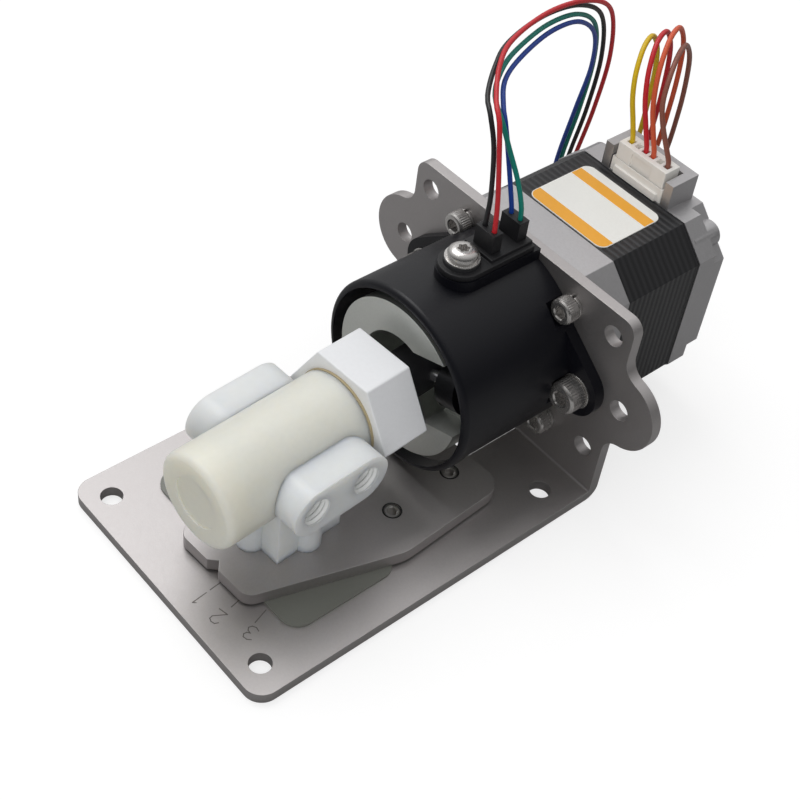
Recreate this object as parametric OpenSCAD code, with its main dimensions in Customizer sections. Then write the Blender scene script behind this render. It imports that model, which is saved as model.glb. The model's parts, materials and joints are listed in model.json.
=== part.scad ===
// Valveless piston pump: a turning piston in a tilting head, driven by a stepper motor.
// The pump axis runs along X, with the head at -X and the motor at +X.
// The origin is the centre of the four base holes, on the underside of the bracket.

/* [Bracket] */
// Thickness of the bent sheet
sheet_t = 2.5; // [1.5:0.1:4]
// Width of the base and of the upright between the lobes
bracket_w = 62; // [58:0.5:80]
// Distance from the origin to the front edge of the base
base_front = 41.5; // [40:0.5:60]
// Distance from the origin to the front face of the upright
upright_x = 44; // [42:0.5:50]
// Height of the top edge of the upright
upright_h = 49; // [47:0.5:60]
// Inside radius of the bend
bend_r = 0.5; // [0.2:0.1:1.5]
// Corner radius of the base
base_corner_r = 4; // [1:0.5:8]
// Corner radius at the top of the upright
upright_corner_r = 3; // [1:0.5:6]
// Hole pitch of the base along X
base_pitch_x = 72; // [60:0.5:76]
// Hole pitch of the base along Y
base_pitch_y = 49; // [47:0.5:53]
// Diameter of the base holes and of the upright holes
fixing_hole_d = 4.5; // [3.2:0.1:5.5]
// Pitch of the corner holes of the upright along Y
corner_hole_pitch = 52.8; // [51:0.2:54]
// Pitch of the lobe holes of the upright along Y
lobe_hole_pitch = 64.5; // [62:0.5:68]
// Radius of the side lobes of the upright
lobe_r = 8.7; // [6:0.1:11]
// Radius of the hollow fillets beside the lobes
lobe_fillet_r = 4; // [2:0.5:6]
// Width of the window through the bend
window_w = 17.6; // [8:0.2:24]
// Distance from the origin to the front end of the window
window_x = 25.5; // [25:0.5:30]

/* [Pump axis] */
// Height of the pump and motor axis over the underside of the bracket
axis_z = 27.5; // [27.4:0.1:28]
// Distance from the origin to the vertical pivot of the swivel plate
pivot_x = 20; // [19.5:0.1:20.5]
// Angle at which the swivel plate stands
swivel_angle = 3.6; // [0:0.1:10]
// Angle of the drive slot above the level, seen from the head
slot_roll = 19.3; // [0:0.1:45]

/* [Swivel plate] */
// Thickness of the swivel plate
swivel_t = 3; // [2.5:0.1:3.5]
// Thickness of the slide sheet under the swivel plate
slide_t = 0.5; // [0.3:0.1:0.8]
// Distance from the pivot to the front edge
swivel_front = 51.6; // [50:0.2:56]
// Distance from the pivot to the rear edge
swivel_rear = 7; // [6:0.5:8]
// Half width at the front edge, between the corner points
swivel_front_half = 9.9; // [9:0.1:12]
// Half width of the rear part
swivel_half = 21.4; // [19:0.1:23]
// Distance from the pivot to the end of the tapered sides
swivel_taper_x = 20.6; // [18:0.2:26]
// Corner radius at the front
swivel_front_r = 3; // [1:0.5:4]
// Radius of the blend between the taper and the sides
swivel_blend_r = 9; // [3:0.5:12]
// Corner radius at the rear
swivel_rear_r = 4.5; // [1:0.5:6]
// Width of the pointer notch
notch_w = 3.3; // [2:0.1:5]
// Depth of the pointer notch
notch_d = 1.6; // [1:0.1:3]
// Diameter of the pivot pin
pivot_d = 6; // [4:0.5:8]
// Pitch of the lock screws along the plate
lock_pitch_x = 16.3; // [12:0.1:20]
// Pitch of the lock screws across the plate
lock_pitch_y = 24; // [22:0.5:30]
// Distance from the pivot to the middle of the lock screws
lock_mid_x = 7.6; // [6:0.1:9]
// Length of the slide sheet
slide_l = 26.3; // [20:0.1:30]
// Width of the slide sheet
slide_w = 46.2; // [40:0.2:52]
// Distance from the origin to the front edge of the slide sheet
slide_front = 27.3; // [26:0.1:29]

/* [Pump head] */
// Outer radius of the head
head_r = 9.95; // [9.5:0.05:10.2]
// Distance from the pivot to the front end of the head
head_front = 56.1; // [54:0.1:60]
// Distance from the pivot to the front face of the gland nut
nut_front = 21.8; // [21:0.1:22.5]
// Distance from the pivot to the rear face of the gland nut
nut_rear = 10.8; // [10.5:0.1:12]
// Size of the gland nut across its flats
nut_flats = 23.4; // [22:0.1:24]
// Distance from the pivot to the rear ports
rear_port_x = 28.6; // [28:0.1:30]
// Distance from the pivot to the front ports
front_port_x = 40.6; // [40:0.1:42]
// Half thickness of the port blocks, which is also their end radius
port_block_r = 5.4; // [4.8:0.1:5.6]
// Distance from the pump axis to the face of the port blocks
port_face_y = 15.4; // [15:0.1:18]
// Radius of the port bores
port_r = 3; // [2.5:0.1:3.4]
// Depth of the port bores
port_depth = 4.8; // [3:0.1:4.9]
// Radius of the ducts between the ports and the piston
duct_r = 0.9; // [0.5:0.1:1]
// Distance of the ducts below the middle of the ports
duct_drop = 1.5; // [1.3:0.1:1.8]
// Size of the foot block along the plate
foot_l = 16.2; // [12:0.2:18]
// Size of the foot block across the plate
foot_w = 15.4; // [12:0.2:17]
// Radius of the screw bosses of the foot
boss_r = 3; // [2.6:0.1:3.4]

/* [Piston] */
// Diameter of the piston
piston_d = 6.3; // [5:0.1:7]
// Radial running clearance of the piston
piston_clearance = 0.03; // [0.01:0.01:0.1]
// Distance from the pivot to the front end of the piston
piston_front = 43.5; // [42:0.1:45]
// Radius of the piston cap
cap_r = 5.2; // [4.5:0.1:5.5]
// Diameter of the drive pin
pin_d = 2.5; // [2:0.1:3]
// Distance from the piston axis to the end of the drive pin
pin_reach = 9.6; // [8:0.1:9.7]

/* [Drive cup] */
// Outer radius of the drive cup
cup_r = 17; // [16:0.1:17.5]
// Distance from the origin to the front face of the drive cup
cup_front = 14.4; // [14.2:0.1:14.6]
// Distance from the origin to the rear face of the drive cup
cup_rear = 41.5; // [38:0.5:42]
// Radius of the pocket in the drive cup
pocket_r = 10; // [9.9:0.1:11]
// Depth of the pocket
pocket_depth = 15.4; // [15:0.2:16]
// Width of the drive slot
slot_w = 15.6; // [12:0.2:17]
// Distance from the pump axis to the centre of the spherical bearing
bearing_y = 13; // [13:0.1:13.2]
// Outer diameter of the spherical bearing
race_d = 10; // [9:0.1:10.6]
// Width of the spherical bearing
race_w = 5.2; // [4:0.1:5.2]
// Diameter of the bearing ball
ball_d = 7; // [6:0.1:7]

/* [Cover] */
// Outer radius of the cover
cover_r = 20.5; // [20.2:0.1:20.5]
// Wall of the cover
cover_wall = 1.4; // [1.2:0.1:1.6]
// Distance from the origin to the front face of the cover
cover_front = 13.75; // [13.5:0.05:15]
// Wall of the rear collar of the cover
collar_wall = 2.5; // [2:0.1:2.8]
// Thickness of the cover lugs
lug_t = 2.5; // [2:0.1:4]
// End radius of the cover lugs
lug_r = 6.2; // [5.5:0.1:7]
// Pitch of the lug screws
lug_pitch = 45.4; // [45:0.2:47]
// Width of the sensor pad
pad_w = 9.8; // [9:0.2:12]
// Distance from the origin to the middle of the sensor screw
sensor_screw_x = 27.3; // [26:0.1:29]
// Height of the sensor pad over the cover
pad_h = 2; // [1.5:0.1:3]

/* [Motor] */
// Size of the end bells across their flats
bell_size = 41.4; // [41:0.1:43]
// Depth of the lamination stack below the faces of the end bells
stack_inset = 0.2; // [0:0.1:0.5]
// Flat left beyond the motor screws at the cut corners of the motor, along a side
corner_land = 4; // [3.5:0.1:5]
// Length of the front bell
front_bell_l = 8.7; // [7:0.1:10]
// Length of the lamination stack
stack_l = 21; // [18:0.5:40]
// Length of the rear bell
rear_bell_l = 8.8; // [8:0.1:12]
// Pitch of the motor screws
motor_pitch = 31; // [30.8:0.1:31.2]
// Length of the label along the motor
label_l = 17.8; // [12:0.1:19]
// Width of the label
label_w = 21.2; // [16:0.2:26]
// Height of the plug over the motor
plug_h = 7.2; // [6:0.1:9]
// Diameter of the motor shaft
shaft_d = 5; // [4:0.5:5]
// Diameter of the pilot boss
pilot_d = 22; // [20:0.5:22]
// Diameter of the rotor
rotor_d = 25.8; // [22:0.2:25.8]

/* [Leads] */
// Diameter of each lead of the sensor
sensor_lead_d = 1; // [0.8:0.1:1.2]
// Diameter of each lead of the motor
motor_lead_d = 1.1; // [0.9:0.1:1.2]

/* [Hidden] */
$fn = 64;

// Small gap that keeps a fitted pair from sharing a face
fit = 0.02;
// Overshoot of every cut past the face it opens
cut = 1;

// Stack and corner cuts of the motor, tied to its bells and screws
stack_size = bell_size - 2 * stack_inset;
motor_chamfer = bell_size - motor_pitch - corner_land;
// Derived stations along the motor
motor_x = upright_x + sheet_t;
stack_x = motor_x + front_bell_l;
rear_x = stack_x + stack_l;
motor_end = rear_x + rear_bell_l;
// Derived swivel stack
swivel_z = sheet_t + slide_t;
swivel_top = swivel_z + swivel_t;
// Centre height of the hole pattern of the upright and the pitch of its corner holes along Z
upright_mid_z = 28;
corner_pitch_z = 31;
// The piston stands forward by what the drive slot gives at this swivel angle
piston_shift = bearing_y * cos(slot_roll) * sin(swivel_angle);
pin_roll = atan2(sin(slot_roll), cos(slot_roll) * cos(swivel_angle));
ball_reach = norm([bearing_y * cos(slot_roll) * cos(swivel_angle), bearing_y * sin(slot_roll)]);
// Inside of the head
liner_r = 7;
liner_rear = 17;
liner_front = 50.5;
boss_end_r = 8.8;
seal_rear = nut_rear + 2.8;
gasket_t = 0.5;
port_y = [-1, 1];
sq = [[-1, -1], [-1, 1], [1, -1], [1, 1]];
// Cover inside radii, lug centre and screw height
cover_bore = cover_r - cover_wall;
collar_bore = cover_r - collar_wall;
collar_x = upright_x - 8.4;
lug_y = 22;
lug_z = axis_z - 0.2;
screw_z = axis_z - 0.5;
head_gap_x = upright_x - lug_t;
pad_top = axis_z + cover_r + pad_h;
plug_xs = [33.65, 40.45];
// Motor plug
plug_x = rear_x + 2.6;
plug_pitch = 2;
// Lead coils on the floor behind the motor: centre, mid radius, width and height
sensor_coil = [104, 34];
sensor_coil_size = [6, 4.2, 5.1];
motor_coil = [99, 12];
motor_coil_size = [6.4, 4.6, 5.6];

ROUTES = [
    [[33.6, 1.27, 54.6], [33.6, 1.27, 57], [33.8, 1.4, 63.4], [34.2, 3.1, 72.8], [35, 6, 78],
        [37.6, 9.8, 82], [43, 14, 85.2], [50, 17.8, 86.6], [63.6, 21.8, 85.2], [76.8, 24.2, 80],
        [87.4, 26.4, 70.6], [94.4, 29.4, 56.4], [97.4, 32.4, 40], [98.4, 35.2, 25], [99.6, 37, 12],
        [99.6, 37, 5.2]],
    [[33.6, -1.27, 54.6], [33.6, -1.27, 57], [33.8, -0.6, 62.6], [34, 0.9, 70], [34.8, 3.4, 78],
        [37, 7, 83.4], [42.4, 12.4, 87.2], [49.6, 16.6, 88.6], [63.6, 20.8, 87.2], [77.6, 23.2, 82],
        [88.8, 25.4, 72], [96, 28.4, 57], [98.7, 31.4, 40], [99.5, 34.2, 25], [100.5, 36, 12],
        [100.5, 36, 5.2]],
    [[40.4, 1.27, 54.6], [40.4, 1.27, 57], [40.2, 2.8, 62.8], [39.6, 4.6, 70.4], [39.2, 5.8, 75],
        [40.6, 8.2, 78.2], [44.6, 12.4, 80.8], [52, 16, 81.4], [64, 20, 80.4], [75.4, 22.6, 76],
        [85, 25.4, 67.6], [91.6, 29.4, 55], [94.8, 33.6, 40], [96.2, 36.6, 25], [97.8, 38.9, 12],
        [97.8, 38.9, 5.2]],
    [[40.4, -1.27, 54.6], [40.4, -1.27, 57], [40.2, -0.9, 60], [39.8, 0.8, 64.8], [38.8, 3.3, 70.6],
        [38, 5.4, 76.4],
        [39.6, 9.8, 80.9], [44.4, 13.6, 82.8], [51.4, 17, 83.4], [64, 21, 82.2],
        [76, 23.6, 77.6], [86, 26.4, 68.8], [92.8, 30, 55.6], [96.1, 33.4, 40], [97.3, 36.2, 25],
        [98.7, 37.9, 12], [98.7, 37.9, 5.2]],
    [[78.8, 5, 54], [78.8, 5.1, 56.4], [78.8, 6.3, 60.4], [79, 7.8, 64.6], [80.6, 9.6, 69],
        [84.6, 12, 72.4], [90, 14.2, 71.6], [95, 15.6, 64], [97.2, 16.4, 50], [97.4, 17, 34],
        [98.6, 19.4, 14], [98.6, 19.4, 5.7]],
    [[78.8, 1, 54], [78.8, 1.2, 56.4], [78.8, 2.8, 60.8], [79, 4.6, 65.6], [80.8, 6.8, 70.6],
        [85.2, 9.6, 74.4], [91.2, 12, 73.4], [96.4, 13.6, 65.4], [98.8, 14.6, 51], [98.8, 15.4, 34],
        [99.6, 18.2, 14], [99.6, 18.2, 5.7]],
    [[78.8, -1, 54], [78.8, -0.9, 56.4], [78.8, 0.6, 60.4], [78.9, 2.4, 66], [81.4, 4.8, 72],
        [86.4, 7.6, 76], [92.4, 10, 75], [98, 11.8, 66.8], [100.4, 12.8, 52], [100.2, 13.8, 34],
        [100.6, 17, 14], [100.6, 17, 5.7]],
    [[78.8, -5, 54], [78.8, -4.9, 56.4], [78.8, -3.5, 59], [78.8, -1.2, 63.2], [79.4, 0.6, 67],
        [82, 2.4, 71], [86.8, 5, 73.4], [92.6, 7.6, 72.2], [98.6, 9.8, 64.4], [101.6, 11, 50],
        [101.6, 12.2, 34], [101.6, 15.8, 14], [101.6, 15.8, 5.7]]];

function unit(v) = v / norm(v);
function side(t) = unit(cross(t, [0, 1, 0]));
function tangent(p, i) = unit(p[min(i + 1, len(p) - 1)] - p[max(i - 1, 0)]);
function ring(p, i, r) = let (t = tangent(p, i), u = side(t), v = cross(t, u))
    [for (k = [0:7]) p[i] + r * (cos(k * 45 + 22.5) * u + sin(k * 45 + 22.5) * v)];

// Takes one rounded corner off a 2-D outline
module trim(p, a, b, r) {
    u = unit(a - p);
    v = unit(b - p);
    half = acos(u * v) / 2;
    c = p + unit(u + v) * r / sin(half);
    t1 = p + u * r / tan(half);
    t2 = p + v * r / tan(half);
    difference() {
        polygon([c, c + 1.4 * (t1 - c), c + 1.4 * (p - c), c + 1.4 * (t2 - c)]);
        translate(c) circle(r);
    }
}

// 2-D outline with a radius at every corner that has one
module outline(points, radii) {
    n = len(points);
    difference() {
        polygon(points);
        for (i = [0:n - 1])
            if (radii[i] > 0)
                trim(points[i], points[(i + n - 1) % n], points[(i + 1) % n], radii[i]);
    }
}

// Extrudes an outline drawn in Y and Z along X
module along_x(x0, x1) {
    translate([x0, 0, 0])
        rotate([90, 0, 90])
            linear_extrude(x1 - x0)
                children();
}

module rod_x(x0, x1, r) {
    translate([x0, 0, 0])
        rotate([0, 90, 0])
            cylinder(h = x1 - x0, r = r);
}

module rod_z(z0, z1, r) {
    translate([0, 0, z0])
        cylinder(h = z1 - z0, r = r);
}

module rod_y(y0, y1, r) {
    translate([0, y1, 0])
        rotate([90, 0, 0])
            cylinder(h = y1 - y0, r = r);
}

module box(a, b) {
    translate(a)
        cube(b - a);
}

// Frame of the swivel plate: origin on the pivot, the head toward -X
module swivel_frame() {
    translate([pivot_x, 0, 0])
        rotate([0, 0, swivel_angle])
            children();
}

module head_frame() {
    swivel_frame()
        translate([0, 0, axis_z])
            children();
}

module piston_frame() {
    head_frame()
        translate([-piston_shift, 0, 0])
            rotate([-pin_roll, 0, 0])
                children();
}

// Frame of the spindle: the drive slot opens toward -Y
module spindle_frame() {
    translate([0, 0, axis_z])
        rotate([-slot_roll, 0, 0])
            children();
}

module at_motor_screws() {
    for (s = sq)
        translate([0, s[0] * motor_pitch / 2, axis_z + s[1] * motor_pitch / 2])
            children();
}

module at_cover_screws() {
    for (s = port_y)
        translate([0, s * lug_pitch / 2, screw_z])
            children();
}

module hexagon(flats) {
    circle(r = flats / sqrt(3), $fn = 6);
}

module base_outline() {
    difference() {
        outline([[-base_front, -bracket_w / 2], [upright_x - bend_r, -bracket_w / 2],
            [upright_x - bend_r, bracket_w / 2], [-base_front, bracket_w / 2]],
            [base_corner_r, 0, 0, base_corner_r]);
        for (s = sq)
            translate([s[0] * base_pitch_x / 2, s[1] * base_pitch_y / 2])
                circle(fixing_hole_d / 2);
        translate([pivot_x, 0])
            circle(pivot_d / 2 + fit);
        outline([[window_x, -window_w / 2], [upright_x + cut, -window_w / 2],
            [upright_x + cut, window_w / 2], [window_x, window_w / 2]], [1.5, 0, 0, 1.5]);
    }
}

module upright_outline() {
    bottom = sheet_t + bend_r;
    fillet_y = bracket_w / 2 + lobe_fillet_r;
    fillet_z = sqrt(pow(lobe_r + lobe_fillet_r, 2) - pow(fillet_y - lobe_hole_pitch / 2, 2));
    difference() {
        union() {
            outline([[-bracket_w / 2, bottom], [bracket_w / 2, bottom],
                [bracket_w / 2, upright_h], [-bracket_w / 2, upright_h]],
                [0, 0, upright_corner_r, upright_corner_r]);
            for (s = port_y) {
                translate([s * lobe_hole_pitch / 2, upright_mid_z])
                    circle(lobe_r);
                for (t = port_y)
                    translate([0, upright_mid_z])
                        scale([s, t])
                            difference() {
                                polygon([[20, 0], [lobe_hole_pitch / 2, 0], [fillet_y, fillet_z],
                                    [20, fillet_z]]);
                                translate([fillet_y, fillet_z])
                                    circle(lobe_fillet_r);
                            }
            }
        }
        translate([0, axis_z])
            circle(pilot_d / 2 + 0.25);
        for (s = sq) {
            translate([s[0] * corner_hole_pitch / 2, upright_mid_z + s[1] * corner_pitch_z / 2])
                circle(fixing_hole_d / 2);
            translate([s[0] * motor_pitch / 2, axis_z + s[1] * motor_pitch / 2])
                circle(1.7);
        }
        for (s = port_y) {
            translate([s * lobe_hole_pitch / 2, upright_mid_z])
                circle(fixing_hole_d / 2);
            translate([s * lug_pitch / 2, screw_z])
                circle(2 + fit);
        }
        outline([[-window_w / 2, 0], [window_w / 2, 0], [window_w / 2, 6.4], [-window_w / 2, 6.4]],
            [0, 0, 1.5, 1.5]);
    }
}

module bracket() {
    color([0.72, 0.7, 0.7]) {
        linear_extrude(sheet_t)
            base_outline();
        along_x(upright_x, motor_x)
            upright_outline();
        difference() {
            translate([upright_x - bend_r, bracket_w / 2, sheet_t + bend_r])
                rotate([90, 0, 0])
                    linear_extrude(bracket_w)
                        intersection() {
                            difference() {
                                circle(bend_r + sheet_t);
                                circle(bend_r);
                            }
                            translate([0, -5])
                                square(5);
                        }
            box([window_x + 2, -window_w / 2, -cut], [motor_x + cut, window_w / 2, 5]);
        }
    }
}

module slide_sheet() {
    color([0.48, 0.55, 0.52])
        translate([0, 0, sheet_t])
            linear_extrude(slide_t)
                outline([[-slide_front, -slide_w / 2], [slide_l - slide_front, -slide_w / 2],
                    [slide_l - slide_front, slide_w / 2], [-slide_front, slide_w / 2]], [4, 4, 4, 4]);
}

module pivot_pin() {
    color([0.75, 0.75, 0.76])
        translate([pivot_x, 0, 0]) {
            rod_z(0, swivel_top + 0.2, pivot_d / 2);
            rod_z(swivel_top + 0.1, swivel_top + 0.9, pivot_d / 2 + 1.2);
        }
}

module pivot_washer() {
    color([0.48, 0.55, 0.52])
        translate([pivot_x, 0, 0])
            difference() {
                rod_z(sheet_t, swivel_z, pivot_d / 2 + 2);
                rod_z(0, swivel_top, pivot_d / 2 + fit);
            }
}

module at_lock_screws() {
    for (s = sq)
        translate([s[0] * lock_pitch_x / 2 - lock_mid_x, s[1] * lock_pitch_y / 2, 0])
            children();
}

module at_foot_screws() {
    for (s = port_y) {
        translate([-(rear_port_x + front_port_x) / 2 + 0.5 + s * foot_l / 2, 0, 0])
            children();
        translate([-(rear_port_x + front_port_x) / 2 + 0.5, s * (foot_w / 2 - 0.9), 0])
            children();
    }
}

module swivel_outline() {
    difference() {
        outline([[-swivel_front, -swivel_front_half], [-swivel_taper_x, -swivel_half],
            [swivel_rear, -swivel_half], [swivel_rear, swivel_half],
            [-swivel_taper_x, swivel_half], [-swivel_front, swivel_front_half]],
            [swivel_front_r, swivel_blend_r, swivel_rear_r, swivel_rear_r, swivel_blend_r, swivel_front_r]);
        polygon([[-swivel_front - cut, -notch_w / 2 * (1 + cut / notch_d)], [-swivel_front + notch_d, 0],
            [-swivel_front - cut, notch_w / 2 * (1 + cut / notch_d)]]);
        circle(pivot_d / 2 + 0.05);
        at_lock_screws()
            circle(1.75);
    }
}

module swivel_plate() {
    color([0.72, 0.7, 0.7])
        swivel_frame()
            difference() {
                translate([0, 0, swivel_z])
                    linear_extrude(swivel_t)
                        swivel_outline();
                at_foot_screws() {
                    rod_z(0, swivel_top + cut, 1.4);
                    rod_z(0, swivel_z + 1.6, 2.5);
                }
            }
}

module lock_screws() {
    color([0.3, 0.3, 0.31])
        swivel_frame()
            at_lock_screws()
                difference() {
                    rod_z(sheet_t, swivel_top - 0.2, 1.73);
                    translate([0, 0, swivel_top - 1.6])
                        cylinder(h = 3, d = 1.5 / cos(30), $fn = 6);
                }
}

module head_foot() {
    mid = (rear_port_x + front_port_x) / 2 - 0.5;
    color([0.86, 0.87, 0.87])
        head_frame()
            difference() {
                translate([-mid, 0, swivel_top - axis_z])
                    linear_extrude(15.2) {
                        square([foot_l, foot_w], center = true);
                        for (s = port_y) {
                            translate([s * foot_l / 2, 0])
                                circle(boss_r);
                            translate([0, s * (foot_w / 2 - 0.9)])
                                circle(boss_r);
                        }
                    }
                rod_x(-head_front, -nut_front, head_r + fit);
                translate([0, 0, -axis_z])
                    at_foot_screws()
                        rod_z(0, swivel_top + 7, 1.27);
            }
}

module foot_screws() {
    color([0.7, 0.7, 0.71])
        swivel_frame()
            at_foot_screws() {
                rod_z(swivel_z + 0.1, swivel_z + 1.6, 2.4);
                rod_z(swivel_z + 1, swivel_top + 6.8, 1.25);
            }
}

// Bores of the four ducts through everything between the port blocks
module ducts(reach) {
    for (x = [rear_port_x, front_port_x])
        translate([-x, 0, -duct_drop])
            rod_y(-reach, reach, duct_r);
}

module pump_head() {
    color([0.85, 0.84, 0.8])
        head_frame()
            difference() {
                union() {
                    rotate([0, -90, 0])
                        rotate_extrude()
                            outline([[0, nut_front + gasket_t], [head_r, nut_front + gasket_t],
                                [head_r, head_front], [0, head_front]], [0, 0, 1.4, 0]);
                    rod_x(-nut_front - cut, -liner_rear, boss_end_r);
                }
                rod_x(-liner_front - fit, -liner_rear + cut, liner_r + fit);
                rod_x(-head_front - cut, -head_front + 0.4, 5.4);
                ducts(20);
            }
}

module head_gasket() {
    color([0.66, 0.55, 0.4])
        head_frame()
            difference() {
                rod_x(-nut_front - gasket_t, -nut_front, head_r + 0.15);
                rod_x(-nut_front - cut, cut, boss_end_r + fit);
            }
}

module ceramic_liner() {
    bore = piston_d / 2 + piston_clearance;
    color([0.93, 0.92, 0.88])
        head_frame()
            difference() {
                rod_x(-liner_front, -liner_rear, liner_r);
                rod_x(-liner_front + 1.8, cut, bore);
                rod_x(-rear_port_x - 1.2, -rear_port_x + 1.2, bore + 0.8);
                ducts(20);
            }
}

module piston_seal() {
    color([0.9, 0.9, 0.92])
        head_frame()
            difference() {
                rod_x(-liner_rear, -seal_rear, boss_end_r - 0.2);
                rod_x(-liner_rear - cut, cut, piston_d / 2 + piston_clearance);
            }
}

module gland_nut() {
    color([0.95, 0.95, 0.94])
        head_frame()
            difference() {
                along_x(-nut_front, -nut_rear)
                    hexagon(nut_flats);
                rod_x(-nut_front - cut, -seal_rear, boss_end_r + fit);
                rod_x(-nut_front, cut - nut_rear, piston_d / 2 + 0.4);
            }
}

module port_block(s) {
    head_frame()
        difference() {
            scale([1, s, 1])
                translate([0, port_face_y, 0])
                    rotate([90, 0, 0])
                        linear_extrude(port_face_y - 5) {
                            translate([-front_port_x, -port_block_r])
                                square([front_port_x - rear_port_x, port_block_r * 2]);
                            for (x = [rear_port_x, front_port_x])
                                translate([-x, 0])
                                    circle(port_block_r);
                        }
            rod_x(-head_front, -nut_front, head_r + fit);
            ducts(20);
            for (x = [rear_port_x, front_port_x])
                translate([-x, s * (port_face_y - port_depth / 2 + cut / 2), 0])
                    rod_y(-(port_depth + cut) / 2, (port_depth + cut) / 2, port_r);
        }
}

module port_block_left() {
    color([0.86, 0.87, 0.87])
        port_block(-1);
}

module port_block_right() {
    color([0.86, 0.87, 0.87])
        port_block(1);
}

module piston() {
    color([0.93, 0.92, 0.88])
        piston_frame()
            difference() {
                rod_x(-piston_front, -0.5, piston_d / 2);
                box([-piston_front - cut, 1.2, -5], [-piston_front + 8, 6, 5]);
                rod_y(-6, 6, pin_d / 2 + fit);
            }
}

module piston_cap() {
    color([0.2, 0.2, 0.21])
        piston_frame()
            difference() {
                rod_x(-5.4, 4, cap_r);
                rod_x(-6.4, -0.5, piston_d / 2 + fit);
                rod_y(-6, 6, pin_d / 2 + fit);
            }
}

module drive_pin() {
    color([0.76, 0.76, 0.77])
        piston_frame()
            rod_y(-pin_reach, cap_r - 0.4, pin_d / 2);
}

module drive_cup() {
    color([0.7, 0.71, 0.69])
        spindle_frame()
            difference() {
                rod_x(cup_front, cup_rear, cup_r);
                rod_x(cup_front - cut, cup_front + pocket_depth, pocket_r);
                box([cup_front - cut, -cup_r - cut, -slot_w / 2], [pivot_x, -5, slot_w / 2]);
                translate([pivot_x, 0, 0])
                    rod_y(-cup_r - cut, -pocket_r + 1.5, race_d / 2 + fit);
                rod_x(cup_front, cup_rear + cut, shaft_d / 2 + fit);
                translate([35.5, 0, 0])
                    rod_z(0, cup_r + cut, 1.52);
                box([32, cup_r - 1, -2.5], [cup_rear + cut, cup_r + cut, 2.5]);
            }
}

module cup_set_screw() {
    color([0.3, 0.3, 0.31])
        spindle_frame()
            translate([35.5, 0, 0])
                difference() {
                    rod_z(shaft_d / 2 + fit, 10.5, 1.5);
                    translate([0, 0, 9])
                        cylinder(h = 3, d = 1.5 / cos(30), $fn = 6);
                }
}

module bearing_race() {
    color([0.8, 0.8, 0.82])
        spindle_frame()
            translate([pivot_x, -bearing_y, 0])
                difference() {
                    rod_y(-race_w / 2, race_w / 2, race_d / 2);
                    sphere(ball_d / 2 + fit);
                    rod_y(-5, 5, 2.4);
                }
}

module bearing_ball() {
    color([0.6, 0.61, 0.63])
        piston_frame()
            translate([0, -ball_reach, 0])
                difference() {
                    intersection() {
                        sphere(ball_d / 2);
                        rod_y(-2.9, 2.9, 5);
                    }
                    rod_y(-5, 5, pin_d / 2 + 0.05);
                }
}

module cover_flange() {
    difference() {
        union() {
            circle(cover_r);
            for (s = port_y)
                scale([s, 1]) {
                    translate([lug_y, lug_z - axis_z])
                        circle(lug_r);
                    polygon([[10, 0], [10, 14], [17.5, 11.2], [lug_y + 3.83, lug_z - axis_z + 4.88],
                        [lug_y + 3.83, lug_z - axis_z - 4.88], [17, -9], [10, -9]]);
                }
        }
        circle(collar_bore);
    }
}

module cover() {
    color([0.1, 0.11, 0.13])
        difference() {
            union() {
                translate([0, 0, axis_z])
                    rotate([0, 90, 0])
                        rotate_extrude()
                            outline([[cover_bore, cover_front], [cover_r, cover_front], [cover_r, upright_x],
                                [collar_bore, upright_x], [collar_bore, collar_x], [cover_bore, collar_x]],
                                [0, 1.2, 0, 0, 0, 0]);
                translate([0, 0, axis_z])
                    along_x(head_gap_x, upright_x)
                        cover_flange();
                difference() {
                    linear_extrude(pad_top) {
                        translate([sensor_screw_x, 0])
                            circle(pad_w / 2);
                        translate([sensor_screw_x, -pad_w / 2])
                            square([upright_x - sensor_screw_x, pad_w]);
                    }
                    translate([0, 0, axis_z])
                        rod_x(0, 60, cover_bore);
                    box([0, -20, -1], [60, 20, axis_z + 10]);
                }
            }
            box([cover_front + 3, -40, -cut], [upright_x + cut, 40, axis_z - 7.3]);
            at_motor_screws()
                rod_x(upright_x - 4.6, upright_x + cut, 3.15);
            at_cover_screws() {
                rod_x(upright_x - 6, upright_x + cut, 2.25);
                rod_x(upright_x - 7.2, upright_x - 2, 3.95);
            }
            translate([sensor_screw_x, 0, 0])
                rod_z(axis_z, pad_top + cut, 1.5 + fit);
            box([33, -3.3, axis_z], [40.2, 3.3, pad_top + cut]);
        }
}

module cover_screws() {
    color([0.68, 0.68, 0.69])
        at_cover_screws()
            difference() {
                union() {
                    rod_x(upright_x - 6.7, upright_x - 2.7, 3.5);
                    rod_x(upright_x - 3, motor_x - 0.2, 2);
                }
                along_x(upright_x - 8, upright_x - 4.7)
                    circle(d = 3 / cos(30), $fn = 6);
            }
}

module cover_washers() {
    color([0.68, 0.68, 0.69])
        at_cover_screws()
            difference() {
                rod_x(upright_x - 2.7, upright_x - 2, 3.8);
                rod_x(upright_x - 5, upright_x, 2.1);
            }
}

module sensor_body() {
    top = pad_top + 2;
    color([0.09, 0.09, 0.1])
        difference() {
            union() {
                translate([0, 0, pad_top])
                    linear_extrude(1.2) {
                        translate([sensor_screw_x, 0])
                            circle(4.6);
                        translate([sensor_screw_x, -4.6])
                            square([15.1, 9.2]);
                    }
                translate([sensor_screw_x, 0, 0])
                    rod_z(pad_top + 1, top + 0.1, 3.6);
                box([31.5, -3.8, pad_top + 1], [42.4, 3.8, top]);
                box([33.2, -3.1, axis_z + 18.2], [40, 3.1, pad_top + 1]);
            }
            translate([sensor_screw_x, 0, 0])
                rod_z(40, top + cut, 1.6);
        }
}

module sensor_screw() {
    color([0.72, 0.7, 0.68])
        translate([sensor_screw_x, 0, pad_top])
            difference() {
                union() {
                    rod_z(2.6, 4.5, 3);
                    rod_z(-2.6, 3, 1.5);
                }
                rod_z(3.5, 5, 1.1);
            }
}

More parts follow.
